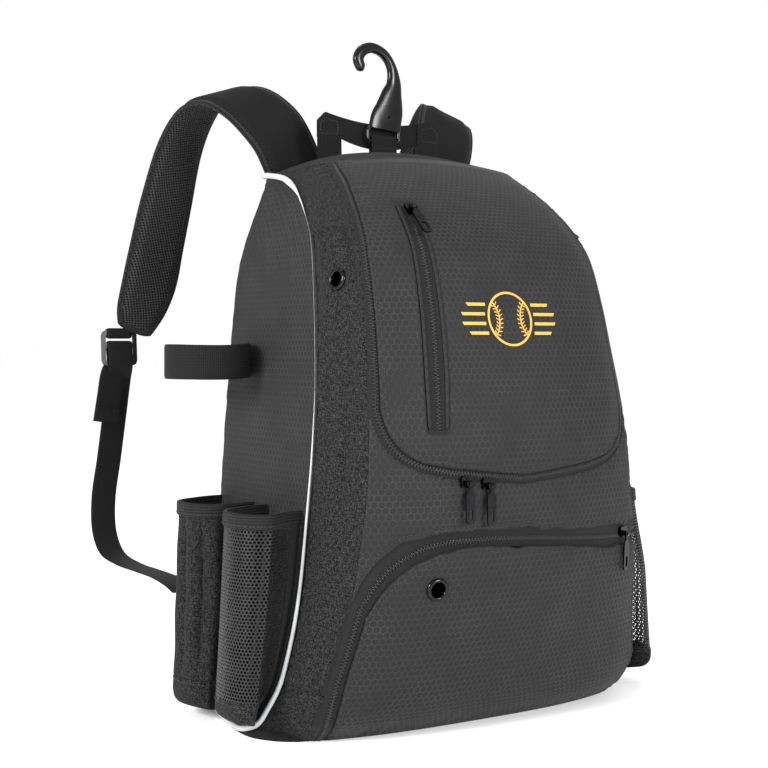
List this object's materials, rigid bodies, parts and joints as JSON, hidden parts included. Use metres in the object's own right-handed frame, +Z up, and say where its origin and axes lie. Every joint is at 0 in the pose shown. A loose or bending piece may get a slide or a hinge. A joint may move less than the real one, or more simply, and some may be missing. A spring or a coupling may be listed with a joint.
{
  "type": "baseball bat backpack",
  "caption": "Backpack with a zipped front flap, front pocket, side bat sleeves and bottle pockets, padded shoulder straps, a haul handle and a hanging hook.",
  "frame": {"origin": "on the flat underside of the base, in the middle between the sides", "axes": "+Z up, -Y out of the front flap, +X to the bag's right as seen from the front"},
  "size_m": [0.4496, 0.4581, 0.6092],
  "materials": {
    "hex_ripstop": "matt hexagon ripstop polyester, charcoal",
    "canvas": "heathered canvas, near black",
    "zip_tape": "black coil zip tape",
    "webbing": "black woven webbing",
    "piping": "light grey reflective piping",
    "net": "black stretch mesh",
    "spacer_mesh": "padded spacer mesh, near black",
    "acetal": "moulded gloss black",
    "black_nickel": "black nickel plate"
  },
  "bodies": {
    "bag": {"side_panel_left": "hex_ripstop", "side_panel_right": "hex_ripstop", "front_flap": "hex_ripstop", "middle_panel": "hex_ripstop", "lower_pocket": "hex_ripstop", "gusset_left": "canvas", "gusset_right": "canvas", "bottle_pocket_binding_left": "canvas", "bottle_pocket_binding_right": "canvas", "bottle_pocket_cuff_left": "canvas", "bottle_pocket_cuff_right": "canvas", "bat_sleeve_left": "canvas", "bat_sleeve_right": "canvas", "bat_sleeve_binding_left": "canvas", "bat_sleeve_binding_right": "canvas", "bat_sleeve_cuff_left": "canvas", "bat_sleeve_cuff_right": "canvas", "strap_anchor_left": "canvas", "strap_anchor_right": "canvas", "top_panel": "canvas", "base_panel": "canvas", "flap_zip": "zip_tape", "lower_zip": "zip_tape", "flap_welt_zip": "zip_tape", "bat_strap_left": "webbing", "bat_strap_right": "webbing", "strap_tab_left": "webbing", "strap_tab_right": "webbing", "adjuster_webbing_left": "webbing", "adjuster_webbing_right": "webbing", "haul_handle": "webbing", "hook_webbing": "webbing", "piping_left": "piping", "piping_right": "piping", "bottle_pocket_left": "net", "bottle_pocket_right": "net", "shoulder_strap_left": "spacer_mesh", "shoulder_strap_right": "spacer_mesh", "back_panel": "spacer_mesh", "ladder_lock_left": "acetal", "ladder_lock_right": "acetal", "fence_hook": "acetal", "eyelet_left": "black_nickel", "eyelet_right": "black_nickel", "eyelet_pocket": "black_nickel", "slider_flap_pocket": "black_nickel", "slider_flap_zip_a": "black_nickel", "slider_flap_zip_b": "black_nickel", "slider_lower_pocket": "black_nickel"},
    "pull_flap_pocket": {"pull_flap_pocket": "black_nickel"},
    "pull_flap_zip_a": {"pull_flap_zip_a": "black_nickel"},
    "pull_flap_zip_b": {"pull_flap_zip_b": "black_nickel"},
    "pull_lower_pocket": {"pull_lower_pocket": "black_nickel"}
  },
  "joints": [
    {"name": "pull_flap_pocket_hinge", "type": "hinge", "parent": "bag", "child": "pull_flap_pocket", "pos_m": [-0.06973, -0.09718, 0.44079], "axis": [-0.9938, 0.0792, -0.0784], "range_deg": [0, 170]},
    {"name": "pull_flap_zip_a_hinge", "type": "hinge", "parent": "bag", "child": "pull_flap_zip_a", "pos_m": [-0.05858, -0.16257, 0.21315], "axis": [-0.9959, 0.0902, -0.0021], "range_deg": [0, 170]},
    {"name": "pull_flap_zip_b_hinge", "type": "hinge", "parent": "bag", "child": "pull_flap_zip_b", "pos_m": [-0.03825, -0.16389, 0.2106], "axis": [-0.9992, 0.0387, -0.0006], "range_deg": [0, 170]},
    {"name": "pull_lower_pocket_hinge", "type": "hinge", "parent": "bag", "child": "pull_lower_pocket", "pos_m": [0.12376, -0.14664, 0.15868], "axis": [-0.9435, -0.3306, -0.0214], "range_deg": [0, 170]}
  ]
}
